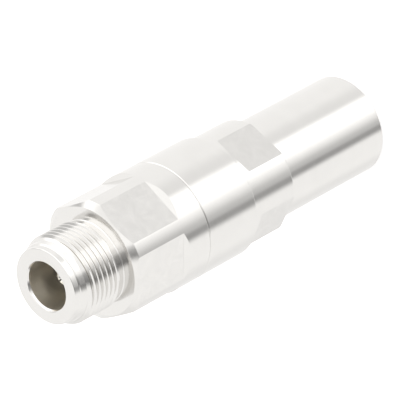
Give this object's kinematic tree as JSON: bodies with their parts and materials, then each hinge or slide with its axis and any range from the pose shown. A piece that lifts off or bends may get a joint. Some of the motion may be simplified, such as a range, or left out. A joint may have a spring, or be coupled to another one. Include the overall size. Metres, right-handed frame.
{
  "type": "n type connector",
  "caption": "Coaxial jack for the end of a feeder cable: threaded nose with a socket contact, wrench flats on the front body and on the rear nut, and a long tail sleeve.",
  "frame": {"origin": "centre of the tail end face, which the connector stands on", "axes": "+Z along the connector's axis from the tail towards the threaded nose; +X and +Y square to two of the rear nut's four flats"},
  "size_m": [0.022, 0.022, 0.0751],
  "materials": {
    "plated_brass": "turned brass with a bright nickel-coloured plating, fine turning marks",
    "contact_silver": "silver plated, smooth",
    "spring_steel": "drawn wire, smooth",
    "ptfe": "waxy matte",
    "seal_rubber": "matte"
  },
  "bodies": {
    "nut": {"rear_nut": "plated_brass", "tail_o_ring": "seal_rubber", "jacket_gasket": "seal_rubber", "seal_washer": "plated_brass", "thrust_ring": "plated_brass"},
    "clamp": {"clamp_collet": "plated_brass", "clamp_spring": "spring_steel"},
    "front": {"flare_ring": "plated_brass", "seam_o_ring": "seal_rubber", "front_body": "plated_brass", "socket_contact": "contact_silver", "contact_collet": "contact_silver", "collet_spring": "spring_steel", "front_bead": "ptfe", "bead_bush": "plated_brass", "rear_bead": "ptfe", "bead_o_ring": "seal_rubber"}
  },
  "joints": [
    {"name": "turn", "type": "hinge", "parent": "nut", "child": "clamp", "pos_m": [0, 0, 0.035], "axis": [0, 0, 1], "range_deg": [0, 2160]},
    {"name": "draw", "type": "slide", "parent": "clamp", "child": "front", "axis": [0, 0, 1], "range_m": [0, 0.006]}
  ],
  "couplings": [
    {"joint": "draw", "follows": "turn", "m_per_rad": 0.00015915}
  ]
}
